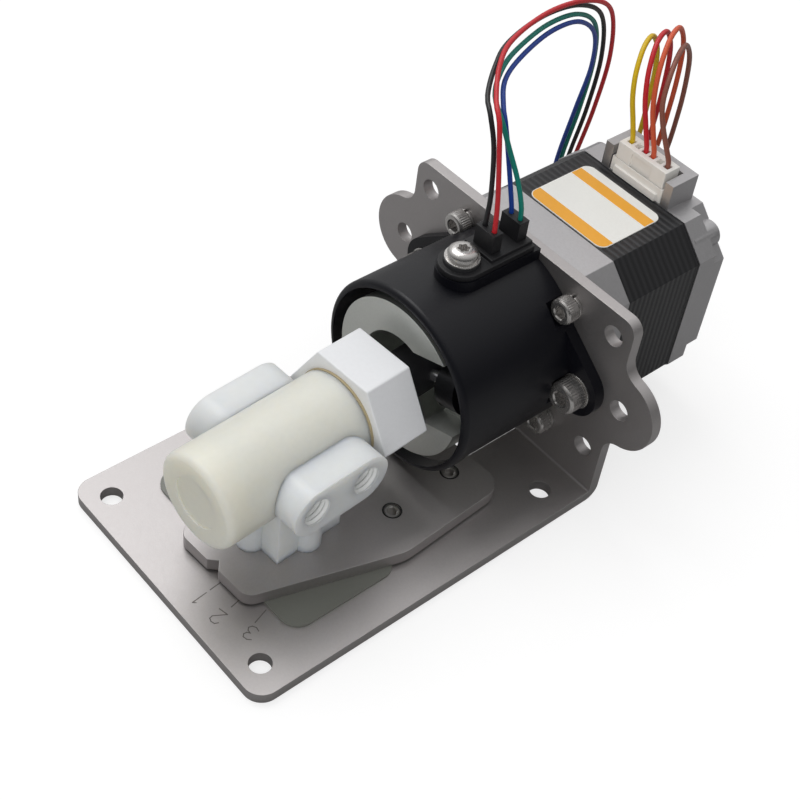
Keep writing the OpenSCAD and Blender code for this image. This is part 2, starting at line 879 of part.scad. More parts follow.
module sensor_washer() {
    color([0.7, 0.7, 0.71])
        translate([sensor_screw_x, 0, pad_top])
            difference() {
                rod_z(2.1, 2.6, 3.5);
                rod_z(1, 4, 1.6);
            }
}

module sensor_plug(x) {
    color([0.07, 0.07, 0.08])
        difference() {
            box([x - 1.27, -2.54, pad_top + 2], [x + 1.27, 2.54, pad_top + 6.4]);
            for (s = port_y)
                translate([x - 0.05, s * 1.27, 0])
                    rod_z(54.4, 60, sensor_lead_d / 2 + fit);
        }
}

module sensor_plug_front() {
    sensor_plug(plug_xs[0]);
}

module sensor_plug_rear() {
    sensor_plug(plug_xs[1]);
}

module square_profile(size, corner) {
    difference() {
        translate([0, axis_z])
            square(size, center = true);
        for (s = sq)
            translate([s[0] * size / 2, axis_z + s[1] * size / 2])
                rotate(45)
                    square(corner * sqrt(2), center = true);
    }
}

module bearing_pocket(x0, x1) {
    translate([0, 0, axis_z])
        rod_x(x0, x1, 6.5 + fit);
}

module motor_front_bell() {
    color([0.78, 0.78, 0.79])
        difference() {
            union() {
                along_x(motor_x, stack_x)
                    square_profile(bell_size, motor_chamfer);
                translate([0, 0, axis_z])
                    rod_x(motor_x - 2, motor_x + cut, pilot_d / 2);
            }
            translate([0, 0, axis_z]) {
                rod_x(stack_x - 3.4, stack_x + cut, 18.4);
                rod_x(0, 60, shaft_d / 2 + 0.6);
            }
            bearing_pocket(motor_x + 1, stack_x);
            at_motor_screws()
                rod_x(motor_x - cut, motor_x + 4.5, 1.5 + fit);
            at_motor_screws()
                rod_x(stack_x - 3, stack_x + cut, 1.27);
        }
}

module motor_rear_bell() {
    top = axis_z + bell_size / 2;
    color([0.78, 0.78, 0.79])
        difference() {
            union() {
                along_x(rear_x, rear_x + 5)
                    square_profile(bell_size, motor_chamfer);
                along_x(rear_x, motor_end)
                    square_profile(bell_size - 0.6, motor_chamfer + 2.4);
                at_motor_screws()
                    rod_x(rear_x + 0.8, motor_end - 0.6, 2.9);
                box([rear_x, -9.4, top - 1], [rear_x + 7.8, 9.4, top + 5.8]);
            }
            box([rear_x - cut, -7.3, top], [rear_x + 5.4, 7.3, top + 7]);
            translate([0, 0, axis_z])
                rod_x(rear_x - cut, rear_x + 3.4, 18.4);
            bearing_pocket(rear_x, rear_x + 7.2);
            at_motor_screws()
                rod_x(rear_x - cut, motor_end + cut, 1.6);
            at_motor_screws()
                rod_x(motor_end - 1.8, motor_end + cut, 2.7);
        }
}

module motor_stack() {
    color([0.3, 0.31, 0.34])
        difference() {
            along_x(stack_x, rear_x)
                square_profile(stack_size, motor_chamfer);
            translate([0, 0, axis_z])
                rod_x(stack_x - cut, rear_x + cut, 13.25);
            at_motor_screws()
                rod_x(stack_x - cut, rear_x + cut, 1.6);
        }
}

module motor_windings() {
    color([0.72, 0.42, 0.2])
        translate([0, 0, axis_z])
            for (x = [stack_x - 3, rear_x])
                difference() {
                    rod_x(x, x + 3, 18);
                    rod_x(x - cut, x + 3 + cut, 14);
                }
}

module motor_rotor() {
    color([0.35, 0.35, 0.37])
        translate([0, 0, axis_z])
            difference() {
                rod_x(stack_x + 1, rear_x - 1, rotor_d / 2);
                rod_x(stack_x, rear_x, shaft_d / 2 + fit);
            }
}

module motor_shaft() {
    color([0.75, 0.75, 0.76])
        translate([0, 0, axis_z])
            rod_x(cup_front + pocket_depth + 1.5, rear_x + 7, shaft_d / 2);
}

module ball_bearing(x) {
    color([0.75, 0.75, 0.78])
        translate([0, 0, axis_z])
            difference() {
                rod_x(x, x + 4, 6.5);
                rod_x(x - cut, x + 4 + cut, shaft_d / 2 + fit);
            }
}

module front_bearing() {
    ball_bearing(motor_x + 1);
}

module rear_bearing() {
    ball_bearing(rear_x + 3.2);
}

module motor_screws() {
    color([0.68, 0.68, 0.69])
        at_motor_screws()
            difference() {
                union() {
                    rod_x(upright_x - 3.7, upright_x - 0.7, 2.75);
                    rod_x(upright_x - 1, motor_x + 4, 1.5);
                }
                along_x(upright_x - 5, upright_x - 2.1)
                    circle(d = 2.5 / cos(30), $fn = 6);
            }
}

module spring_washers() {
    color([0.68, 0.68, 0.69])
        at_motor_screws()
            difference() {
                rod_x(upright_x - 0.7, upright_x, 2.7);
                rod_x(upright_x - 2, upright_x + 2, 1.6);
                box([upright_x - 2, -0.3, 0], [upright_x + 2, 0.3, 4]);
            }
}

module case_screws() {
    color([0.68, 0.68, 0.69])
        at_motor_screws()
            difference() {
                union() {
                    rod_x(stack_x - 2.8, motor_end - 1, 1.25);
                    rod_x(motor_end - 1.8, motor_end - 0.2, 2.5);
                }
                box([motor_end - 1, -0.4, -1.8], [motor_end + 1, 0.4, 1.8]);
                box([motor_end - 1, -1.8, -0.4], [motor_end + 1, 1.8, 0.4]);
            }
}

module motor_label() {
    front = stack_x + 0.5;
    color([0.93, 0.92, 0.88])
        translate([0, 0, axis_z + stack_size / 2])
            linear_extrude(0.2)
                outline([[front, -label_w / 2], [front + label_l, -label_w / 2],
                    [front + label_l, label_w / 2], [front, label_w / 2]], [2, 2, 2, 2]);
}

module motor_socket() {
    top = axis_z + bell_size / 2;
    color([0.92, 0.91, 0.87])
        difference() {
            union() {
                box([rear_x - 0.4, -5.9, top], [rear_x + 5.2, 5.9, top + 1.8]);
                box([rear_x + 0.1, -7.1, top], [rear_x + 5.2, 7.1, top + 3.4]);
            }
            box([plug_x - 2.25, -6.6, top + 1.2], [plug_x + 2.25, 6.6, top + 4]);
        }
}

module motor_plug() {
    top = axis_z + bell_size / 2;
    color([0.92, 0.91, 0.87])
        difference() {
            box([plug_x - 2.2, -6.55, top + 1.2], [plug_x + 2.2, 6.55, top + plug_h]);
            box([plug_x - 4, -2.7, top + 2.6], [plug_x - 1.8, 2.7, top + plug_h - 1]);
            for (k = [-2.5:1:2.5])
                box([plug_x - 0.8, k * plug_pitch - 0.65, top + plug_h - 1.4],
                    [plug_x + 0.8, k * plug_pitch + 0.65, top + plug_h + cut]);
        }
}

// A lead as one tube through the points of its route
module lead(k) {
    p = ROUTES[k];
    n = len(p);
    polyhedron(
        points = [for (i = [0:n - 1]) each ring(p, i, (k < 4 ? sensor_lead_d : motor_lead_d) / 2)],
        faces = concat(
            [[for (j = [0:7]) j]],
            [for (i = [0:n - 2], j = [0:7]) [i * 8 + j, (i + 1) * 8 + j, (i + 1) * 8 + (j + 1) % 8]],
            [for (i = [0:n - 2], j = [0:7]) [i * 8 + j, (i + 1) * 8 + (j + 1) % 8, i * 8 + (j + 1) % 8]],
            [[for (j = [7:-1:0]) (n - 1) * 8 + j]]));
}

module lead_black() {
    color([0.05, 0.05, 0.05])
        lead(0);
}

module lead_red() {
    color([0.75, 0.08, 0.08])
        lead(1);
}

module lead_blue() {
    color([0.05, 0.2, 0.55])
        lead(2);
}

module lead_green() {
    color([0, 0.47, 0.4])
        lead(3);
}

module lead_yellow() {
    color([0.85, 0.68, 0.05])
        lead(4);
}

module lead_motor_red() {
    color([0.75, 0.08, 0.08])
        lead(5);
}

module lead_orange() {
    color([0.83, 0.3, 0.16])
        lead(6);
}

module lead_brown() {
    color([0.5, 0.28, 0.24])
        lead(7);
}

// The rest of a group of leads, wound into a small coil that lies on the floor
module lead_coil(centre, size) {
    r0 = size[0] - size[1] / 2;
    r1 = size[0] + size[1] / 2;
    translate([centre[0], centre[1], 0])
        rotate_extrude()
            outline([[r0, 0], [r1, 0], [r1, size[2]], [r0, size[2]]], [1, 1, 1, 1]);
}

module sensor_lead_coil() {
    color([0.05, 0.2, 0.55])
        lead_coil(sensor_coil, sensor_coil_size);
}

module motor_lead_coil() {
    color([0.85, 0.68, 0.05])
        lead_coil(motor_coil, motor_coil_size);
}

bracket();
slide_sheet();
pivot_pin();
pivot_washer();
swivel_plate();
lock_screws();
head_foot();
foot_screws();
pump_head();
ceramic_liner();
head_gasket();
piston_seal();
gland_nut();
port_block_left();
port_block_right();
piston();
piston_cap();
drive_pin();
drive_cup();
cup_set_screw();
bearing_race();
bearing_ball();
cover();
cover_screws();
cover_washers();
sensor_body();
sensor_screw();
sensor_washer();
sensor_plug_front();
sensor_plug_rear();
motor_front_bell();
motor_stack();
motor_windings();
motor_rear_bell();
motor_rotor();
motor_shaft();
front_bearing();
rear_bearing();
motor_screws();
spring_washers();
case_screws();
motor_label();
motor_socket();
motor_plug();
lead_black();
lead_red();
lead_blue();
lead_green();
sensor_lead_coil();
lead_yellow();
lead_motor_red();
lead_orange();
lead_brown();
motor_lead_coil();
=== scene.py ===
"""Valveless piston pump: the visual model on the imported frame, with its materials, stage and camera."""

import json
import logging
import math
from dataclasses import dataclass, field
from enum import Enum

import bmesh
import bpy
from mathutils import Matrix, Vector

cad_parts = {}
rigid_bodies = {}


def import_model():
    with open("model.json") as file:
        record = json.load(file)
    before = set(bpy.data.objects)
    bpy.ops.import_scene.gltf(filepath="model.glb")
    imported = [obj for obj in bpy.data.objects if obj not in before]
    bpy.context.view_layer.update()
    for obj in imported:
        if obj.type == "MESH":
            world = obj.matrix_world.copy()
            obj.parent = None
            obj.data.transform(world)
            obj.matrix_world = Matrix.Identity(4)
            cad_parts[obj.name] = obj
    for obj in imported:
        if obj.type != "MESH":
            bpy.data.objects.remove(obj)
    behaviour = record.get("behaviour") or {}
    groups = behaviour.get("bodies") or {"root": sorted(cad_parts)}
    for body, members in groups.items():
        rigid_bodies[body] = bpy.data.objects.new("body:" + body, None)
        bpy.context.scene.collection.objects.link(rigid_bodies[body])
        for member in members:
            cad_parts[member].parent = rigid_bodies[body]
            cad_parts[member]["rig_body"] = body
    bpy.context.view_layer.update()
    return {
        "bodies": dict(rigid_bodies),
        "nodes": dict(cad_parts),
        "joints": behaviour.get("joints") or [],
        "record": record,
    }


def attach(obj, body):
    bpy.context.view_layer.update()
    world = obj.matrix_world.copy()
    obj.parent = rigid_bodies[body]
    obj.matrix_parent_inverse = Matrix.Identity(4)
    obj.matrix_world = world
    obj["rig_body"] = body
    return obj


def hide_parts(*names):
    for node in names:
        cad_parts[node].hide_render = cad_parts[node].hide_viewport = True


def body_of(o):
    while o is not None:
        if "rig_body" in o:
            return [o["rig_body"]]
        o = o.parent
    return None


Point = tuple[float, float, float]
Spot = tuple[float, float]
Ring = tuple[float, list[float]]

LOG = logging.getLogger("pump")

MM = 0.001
PUMP_Z = 27.5
PIVOT_X = 20.0
SWIVEL_DEG = 3.6
UPWARD = Matrix.Rotation(-math.pi / 2, 4, "Y")
FORWARD = Matrix.Rotation(math.pi, 4, "Z")
INK = 0.012

METAL_SHARE = 0.9
SMOOTHEST = 0.02
GRAIN_DETAIL = 3.0
BUMP_DEPTH = 0.0002
SCATTER_TINT = (1.0, 0.9, 0.75)
LAYER_SCALE = 205.0
LAYER_WAVER = 0.4
LAYER_DETAIL = 1.0
LAYER_SHADE = 0.5

MERGE_DIST = 0.002
FLAT_DEG = 0.7
SHARP_DEG = 28.0
ROUND_STEPS = 2


class Look(Enum):
    """How a finish is shaded."""

    PLASTIC = "plastic"
    METAL = "metal"
    MILKY = "milky"
    LAMINATED = "laminated"


class Body(Enum):
    """The bodies that the pieces ride on."""

    BASE = "base"
    SPINDLE = "spindle"
    SWIVEL = "swivel"
    PISTON = "piston"


def linear(value: float) -> float:
    """Turns one sRGB channel into a linear one.

    Args:
        value: The channel, from 0 to 1.

    Returns:
        The linear channel, from 0 to 1.
    """
    return value / 12.92 if value <= 0.04045 else ((value + 0.055) / 1.055) ** 2.4


@dataclass(frozen=True)
class Finish:
    """A node-based material in object coordinates, which holds the name of a slot of the record."""

    name: str
    slot: str
    color: Point
    look: Look = Look.PLASTIC
    roughness: float = 0.45
    grain: float = 0.03
    grain_scale: float = 1500.0
    bump: float = 0.02
    scatter: float = 0.0
    depth: float = 0.0025
    specular: float = 0.5

    def build(self) -> bpy.types.Material:
        """Makes the material, or returns the one made before.

        Returns:
            The Blender material.
        """
        found = bpy.data.materials.get(self.name)
        if found:
            return found
        mat = bpy.data.materials.new(self.name)
        mat.use_nodes = True
        mat.diffuse_color = (*self.shade(1.0), 1.0)
        tree = mat.node_tree
        nodes, links = tree.nodes, tree.links
        shader = nodes["Principled BSDF"]
        shader.inputs["Metallic"].default_value = METAL_SHARE if self.look is Look.METAL else 0.0
        shader.inputs["Roughness"].default_value = self.roughness
        shader.inputs["Specular IOR Level"].default_value = self.specular
        coords = nodes.new("ShaderNodeTexCoord").outputs["Object"]
        noise = nodes.new("ShaderNodeTexNoise")
        noise.inputs["Scale"].default_value = self.grain_scale
        noise.inputs["Detail"].default_value = GRAIN_DETAIL
        links.new(coords, noise.inputs["Vector"])
        height = grain = noise.outputs["Fac"]
        base = self.tinted(tree, grain)
        if self.look is Look.LAMINATED:
            height = self.layers(tree, coords)
            base = self.striped(tree, base, height)
        links.new(base, shader.inputs["Base Color"])
        rough = nodes.new("ShaderNodeMapRange")
        rough.inputs["To Min"].default_value = max(SMOOTHEST, self.roughness - self.grain)
        rough.inputs["To Max"].default_value = min(1.0, self.roughness + self.grain)
        links.new(grain, rough.inputs["Value"])
        links.new(rough.outputs["Result"], shader.inputs["Roughness"])
        bump = nodes.new("ShaderNodeBump")
        bump.inputs["Strength"].default_value = self.bump
        bump.inputs["Distance"].default_value = BUMP_DEPTH
        links.new(height, bump.inputs["Height"])
        links.new(bump.outputs["Normal"], shader.inputs["Normal"])
        if self.look is Look.MILKY:
            shader.subsurface_method = "RANDOM_WALK"
            shader.inputs["Subsurface Weight"].default_value = self.scatter
            shader.inputs["Subsurface Radius"].default_value = SCATTER_TINT
            shader.inputs["Subsurface Scale"].default_value = self.depth
        return mat

    def shade(self, factor: float) -> Point:
        """The linear colour, made darker or lighter.

        Args:
            factor: What every channel is multiplied by.

        Returns:
            The three channels, at most 1.
        """
        return tuple(min(1.0, linear(c) * factor) for c in self.color)

    def tinted(self, tree: bpy.types.NodeTree, grain: bpy.types.NodeSocket) -> bpy.types.NodeSocket:
        """Varies the colour a little with the grain.

        Args:
            tree: The material's node tree.
            grain: The noise from 0 to 1.

        Returns:
            The colour.
        """
        mix = tree.nodes.new("ShaderNodeMix")
        mix.data_type = "RGBA"
        mix.inputs["A"].default_value = (*self.shade(1 - self.grain), 1)
        mix.inputs["B"].default_value = (*self.shade(1 + self.grain), 1)
        tree.links.new(grain, mix.inputs["Factor"])
        return mix.outputs["Result"]

    def striped(
        self, tree: bpy.types.NodeTree, base: bpy.types.NodeSocket, layers: bpy.types.NodeSocket
    ) -> bpy.types.NodeSocket:
        """Darkens the joints between layers.

        Args:
            tree: The material's node tree.
            base: The colour of the layers.
            layers: The pattern, 0 in the joints.

        Returns:
            The colour.
        """
        mix = tree.nodes.new("ShaderNodeMix")
        mix.data_type = "RGBA"
        mix.inputs["A"].default_value = (*self.shade(LAYER_SHADE), 1)
        tree.links.new(layers, mix.inputs["Factor"])
        tree.links.new(base, mix.inputs["B"])
        return mix.outputs["Result"]

    @staticmethod
    def layers(tree: bpy.types.NodeTree, coords: bpy.types.NodeSocket) -> bpy.types.NodeSocket:
        """Draws layers stacked along X.

        Args:
            tree: The material's node tree.
            coords: The object coordinates.

        Returns:
            The pattern, from 0 to 1.
        """
        wave = tree.nodes.new("ShaderNodeTexWave")
        wave.bands_direction = "X"
        wave.inputs["Scale"].default_value = LAYER_SCALE
        wave.inputs["Distortion"].default_value = LAYER_WAVER
        wave.inputs["Detail"].default_value = LAYER_DETAIL
        tree.links.new(coords, wave.inputs["Vector"])
        return wave.outputs["Fac"]


def plastic(
    name: str, slot: str, color: Point, roughness: float = 0.4, grain: float = 0.03, **more: float
) -> Finish:
    """A smooth plastic or paint.

    Args:
        name: Name of the material.
        slot: Slot of the record.
        color: Its sRGB colour.
        roughness: Its roughness.
        grain: How far the grain varies colour and roughness.
        **more: Other fields of the finish.

    Returns:
        The finish.
    """
    return Finish(name, slot, color, Look.PLASTIC, roughness, grain, **more)


def metal(
    name: str, slot: str, color: Point, roughness: float, grain: float = 0.03, **more: float
) -> Finish:
    """A metal with a fine grain.

    Args:
        name: Name of the material.
        slot: Slot of the record.
        color: Its sRGB colour.
        roughness: Its roughness.
        grain: How far the grain varies colour and roughness.
        **more: Other fields of the finish.

    Returns:
        The finish.
    """
    return Finish(name, slot, color, Look.METAL, roughness, grain, **more)


BRACKET = metal(
    "bracket steel", "bracket_steel", (0.735, 0.72, 0.718), 0.48, 0.10, grain_scale=2600, bump=0.06
)
SLIDE = plastic("slide sheet", "slide_plastic", (0.46, 0.465, 0.44), 0.35)
SCREW = metal("screw steel", "screw_steel", (0.80, 0.79, 0.78), 0.26, 0.05)
GRUB = metal("grub steel", "grub_steel", (0.72, 0.71, 0.70), 0.3, 0.05)
PORT = Finish(
    "port plastic", "port_plastic", (0.90, 0.91, 0.905), Look.MILKY, 0.36, grain_scale=900, scatter=0.9,
    depth=0.006,
)
# Painted light: a lighter, plain copy of the port plastic for the threads, so that the holes look lit by
# light coming through the milky walls.
BORE_LIT = plastic("port bore painted light", "port_plastic", (0.97, 0.975, 0.97), 0.4, 0.02)
HEAD = Finish(
    "head plastic", "head_plastic", (0.93, 0.92, 0.865), Look.MILKY, 0.38, grain_scale=900, scatter=0.85,
    depth=0.007,
)
NUT = plastic("nut plastic", "nut_plastic", (0.94, 0.945, 0.955))
GASKET = plastic("gasket", "gasket_rubber", (0.72, 0.66, 0.52), 0.5)
SEAL = plastic("seal plastic", "seal_plastic", (0.92, 0.92, 0.93), 0.45)
CERAMIC = plastic("ceramic", "ceramic", (0.93, 0.92, 0.88), 0.15, 0.02)
CAP = plastic("cap plastic", "cap_plastic", (0.16, 0.16, 0.17), 0.45)
PIN = metal("pin steel", "pin_steel", (0.82, 0.82, 0.83), 0.18, 0.04)
CUP = metal("cup aluminium", "cup_aluminium", (0.90, 0.91, 0.89), 0.45, 0.06, grain_scale=2200, bump=0.03)
BEARING = metal("bearing steel", "bearing_steel", (0.20, 0.20, 0.21), 0.3, 0.04)
COVER = plastic(
    "cover plastic", "cover_plastic", (0.06, 0.062, 0.085), 0.36, 0.08, grain_scale=3200, bump=0.10,
    specular=0.34,
)
SENSOR = plastic("sensor plastic", "sensor_plastic", (0.10, 0.10, 0.11), 0.5, 0.05)
BELL = metal(
    "bell aluminium", "bell_aluminium", (0.75, 0.745, 0.75), 0.5, 0.10, grain_scale=1800, bump=0.12
)
STACK = Finish("stack steel", "stack_steel", (0.13, 0.13, 0.14), Look.LAMINATED, 0.45, 0.1, 2000, 0.5)
COPPER = metal("copper", "copper", (0.72, 0.42, 0.20), 0.4)
ROTOR = metal("rotor steel", "rotor_steel", (0.45, 0.45, 0.47), 0.45)
LABEL = plastic("label", "label_paper", (0.95, 0.95, 0.93))
BAND = plastic("label band", "label_paper", (0.96, 0.68, 0.20))
PLUG = plastic("plug plastic", "plug_plastic", (0.95, 0.94, 0.92))
MARK = plastic("engraving", "bracket_steel", (0.44, 0.42, 0.41), 0.6)
# Painted shade: a dark ring laid flat over the gap round each lock screw, where there is only shade.
GAP_SHADE = plastic("painted gap shade", "grub_steel", (0.10, 0.10, 0.10), 0.6)
BLACK = plastic("lead black", "lead_black", (0.12, 0.12, 0.13))
RED = plastic("lead red", "lead_red", (0.80, 0.14, 0.18))
BLUE = plastic("lead blue", "lead_blue", (0.07, 0.25, 0.62))
GREEN = plastic("lead green", "lead_green", (0.0, 0.52, 0.46))
YELLOW = plastic("lead yellow", "lead_yellow", (0.88, 0.74, 0.08))
ORANGE = plastic("lead orange", "lead_orange", (0.86, 0.36, 0.22))
BROWN = plastic("lead brown", "lead_brown", (0.56, 0.34, 0.28))


def at(x: float, y: float, z: float) -> Matrix:
    """A shift in millimetres.

    Args:
        x: Along +X.
        y: Along +Y.
        z: Along +Z.

    Returns:
        The matrix.
    """
    return Matrix.Translation((x, y, z))


def turned(degrees: float, axis: str) -> Matrix:
    """A turn about an axis through the origin.

    Args:
        degrees: The angle.
        axis: X, Y or Z.

    Returns:
        The matrix.
    """
    return Matrix.Rotation(math.radians(degrees), 4, axis)


class Shape:
    """A mesh under construction, in millimetres."""

    def __init__(self) -> None:
        """Starts empty."""
        self.bm = bmesh.new()

    def lathe(self, profile: list[Spot], matrix: Matrix, steps: int = 48) -> "Shape":
        """Turns a closed profile about local X.

        Args:
            profile: Pairs of (x, radius), in order round the section.
            matrix: Where the local axis stands.
            steps: Facets round the axis.

        Returns:
            This shape.
        """
        before = set(self.bm.verts)
        verts = [self.bm.verts.new((x, 0, r)) for x, r in profile]
        edges = [self.bm.edges.new(pair) for pair in zip(verts, verts[1:] + verts[:1])]
        bmesh.ops.spin(
            self.bm, geom=verts + edges, cent=(0, 0, 0), axis=(1, 0, 0), angle=math.tau, steps=steps,
            use_merge=True,
        )
        fresh = [v for v in self.bm.verts if v not in before]
        bmesh.ops.transform(self.bm, matrix=matrix, verts=fresh)
        return self

    def prism(self, points: list[Spot], low: float, high: float, matrix: Matrix | None = None) -> "Shape":
        """Extrudes an outline drawn in local X and Y along local Z.

        Args:
            points: The outline, in order.
            low: Lower end.
            high: Upper end.
            matrix: Where the local frame stands.

        Returns:
            This shape.
        """
        base = [self.bm.verts.new((x, y, low)) for x, y in points]
        face = self.bm.faces.new(base)
        made = bmesh.ops.extrude_face_region(self.bm, geom=[face])["geom"]
        top = [v for v in made if isinstance(v, bmesh.types.BMVert)]
        for vert in top:
            vert.co.z = high
        bmesh.ops.transform(self.bm, matrix=matrix or Matrix(), verts=base + top)
        return self

    def plate(self, low: Point, high: Point, matrix: Matrix | None = None) -> "Shape":
        """Adds a rectangular plate between two corners.

        Args:
            low: Lowest corner.
            high: Highest corner.
            matrix: Where the local frame stands.

        Returns:
            This shape.
        """
        corners = [(low[0], low[1]), (high[0], low[1]), (high[0], high[1]), (low[0], high[1])]
        return self.prism(corners, low[2], high[2], matrix)

    def loft(self, rings: list[Ring], matrix: Matrix) -> "Shape":
        """Joins rings about local X, and closes both ends.

        Args:
            rings: Each ring as its station and its radii, evenly spaced round the axis.
            matrix: Where the local axis stands.

        Returns:
            This shape.
        """
        steps = len(rings[0][1])
        across = turned(90, "Y")
        made = bmesh.ops.create_circle(self.bm, cap_ends=True, segments=steps, radius=1.0, matrix=across)
        loop = made["verts"]
        self.set_ring(loop, *rings[0])
        verts = list(loop)
        rim = [e for e in self.bm.edges if all(v in loop for v in e.verts)]
        for x, radii in rings[1:]:
            made = bmesh.ops.extrude_edge_only(self.bm, edges=rim)["geom"]
            loop = [v for v in made if isinstance(v, bmesh.types.BMVert)]
            edges = [e for e in made if isinstance(e, bmesh.types.BMEdge)]
            rim = [e for e in edges if all(v in loop for v in e.verts)]
            self.set_ring(loop, x, radii)
            verts += loop
        bmesh.ops.edgeloop_fill(self.bm, edges=rim)
        bmesh.ops.transform(self.bm, matrix=matrix, verts=verts)
        return self

    @staticmethod
    def set_ring(loop: list[bmesh.types.BMVert], x: float, radii: list[float]) -> None:
        """Puts the vertices of a ring about local X at their station and radii.

        Args:
            loop: The vertices, each at its own turn already.
            x: The station.
            radii: The radii, evenly spaced round the axis.
        """
        for vert in loop:
            k = round(math.atan2(vert.co.z, vert.co.y) / math.tau * len(radii)) % len(radii)
            angle = math.tau * k / len(radii)
            vert.co = (x, radii[k] * math.cos(angle), radii[k] * math.sin(angle))

    def piece(
        self, name: str, finish: Finish, body: Body, replaces: tuple[str, ...] = (), angle: float = 35.0
    ) -> bpy.types.Object:
        """Turns the shape into an object that rides on a body.

        Args:
            name: Name of the piece.
            finish: Its material.
            body: The body it rides on.
            replaces: CAD nodes that it stands for.
            angle: Edges sharper than this stay sharp, in degrees.

        Returns:
            The object.
        """
        bmesh.ops.recalc_face_normals(self.bm, faces=self.bm.faces)
        bmesh.ops.scale(self.bm, vec=(MM, MM, MM), verts=self.bm.verts)
        mesh = bpy.data.meshes.new(name)
        self.bm.to_mesh(mesh)
        self.bm.free()
        mesh.shade_smooth()
        mesh.set_sharp_from_angle(angle=math.radians(angle))
        mesh.materials.append(finish.build())
        obj = bpy.data.objects.new(name, mesh)
        bpy.context.scene.collection.objects.link(obj)
        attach(obj, body.value)
        if replaces:
            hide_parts(*replaces)
        return obj


@dataclass(frozen=True)
class Screw:
    """A screw along local X, seated at the origin, with a knurled head and a hexagon socket."""

    shank_r: float
    shank_l: float
    key: float
    head_r: float = 0.0
    head_h: float = 0.0
    tip: float = 0.4
    knurl: float = 0.11
    steps: int = 72

    def circle(self, radius: float) -> list[float]:
        """The radii of a round ring."""
        return [radius] * self.steps

    def hexagon(self) -> list[float]:
        """The radii of the hexagon that the key fits."""
        turns = (360 * k / self.steps for k in range(self.steps))
        return [self.key / 2 / math.cos(math.radians(a % 60 - 30)) for a in turns]

    def shank(self) -> list[Ring]:
        """The rings from the tip to the seat of the head."""
        r, end = self.shank_r, -self.shank_l
        return [(end, self.circle(r - 0.3)), (end + self.tip, self.circle(r)), (0.0, self.circle(r))]

    def head(self) -> list[Ring]:
        """The rings from the seat over the rim to the floor of the socket.

        Returns:
            Pairs of station and radii.
        """
        r, h = self.head_r, self.head_h
        rim = [r - self.knurl * (k % 2) for k in range(self.steps)]
        side = [(0.0, self.circle(r - 0.25)), (0.2, rim), (h - 0.5, rim), (h - 0.16, self.circle(r - 0.3))]
        top = [(h, self.circle(r - 0.6)), (h, self.circle(self.key * 0.62))]
        return side + top + [(h - 0.25, self.hexagon()), (h * 0.4, self.hexagon())]

    def rings(self) -> list[Ring]:
        """All rings, from the tip to the floor of the socket."""
        return self.shank() + self.head()


@dataclass(frozen=True)
class DomeScrew(Screw):
    """A screw with a domed head and a socket of six round lobes."""

    lobe: float = 0.14

    def head(self) -> list[Ring]:
        """The rings from the seat over the dome to the floor of the socket.

        Returns:
            Pairs of station and radii.
        """
        r, h = self.head_r, self.head_h
        turns = (math.radians(6 * 360 * k / self.steps) for k in range(self.steps))
        lobes = [self.key / 2 * (1 + self.lobe * math.cos(a)) for a in turns]
        dome = [(0.0, 1.0), (0.4, 1.0), (0.62, 0.95), (0.8, 0.84), (0.93, 0.68), (1.0, 0.48)]
        rings = [(h * x, self.circle(r * k)) for x, k in dome]
        return rings + [(h, [v + 0.05 for v in lobes]), (h * 0.9, lobes), (h * 0.4, lobes)]


@dataclass(frozen=True)
class GrubScrew(Screw):
    """A headless screw that ends flush at the origin, with a hexagon socket."""

    def shank(self) -> list[Ring]:
        """The rings from the tip to the chamfer at the open end.

        Returns:
            Pairs of station and radii.
        """
        r, end = self.shank_r, -self.shank_l
        plain = [(end, r - 0.4), (end + self.tip, r), (-0.35, r), (-0.08, r - 0.25), (-0.04, self.key * 0.62)]
        return [(x, self.circle(radius)) for x, radius in plain]

    def head(self) -> list[Ring]:
        """The two rings of the socket."""
        return [(-0.2, self.hexagon()), (-1.2, self.hexagon())]


@dataclass(frozen=True)
class Thread:
    """The thread in a port, cut as closed grooves."""

    pitch: float = 0.907
    turns: int = 4
    mouth: float = 0.35
    start: float = 0.45
    end: float = 4.3
    mouth_r: float = 2.97
    crest_r: float = 2.62
    root_r: float = 2.93
    wall_r: float = 2.985

    def section(self) -> list[Spot]:
        """The section from the mouth inwards and back along the wall.

        Returns:
            Pairs of (depth, radius).
        """
        line = [(self.mouth, self.mouth_r)]
        for turn in range(self.turns):
            groove = self.start + turn * self.pitch
            for share, radius in ((0.35, self.crest_r), (0.5, self.crest_r), (0.9, self.root_r)):
                line.append((groove + self.pitch * share, radius))
        return line + [(self.end, self.wall_r), (self.mouth, self.wall_r)]


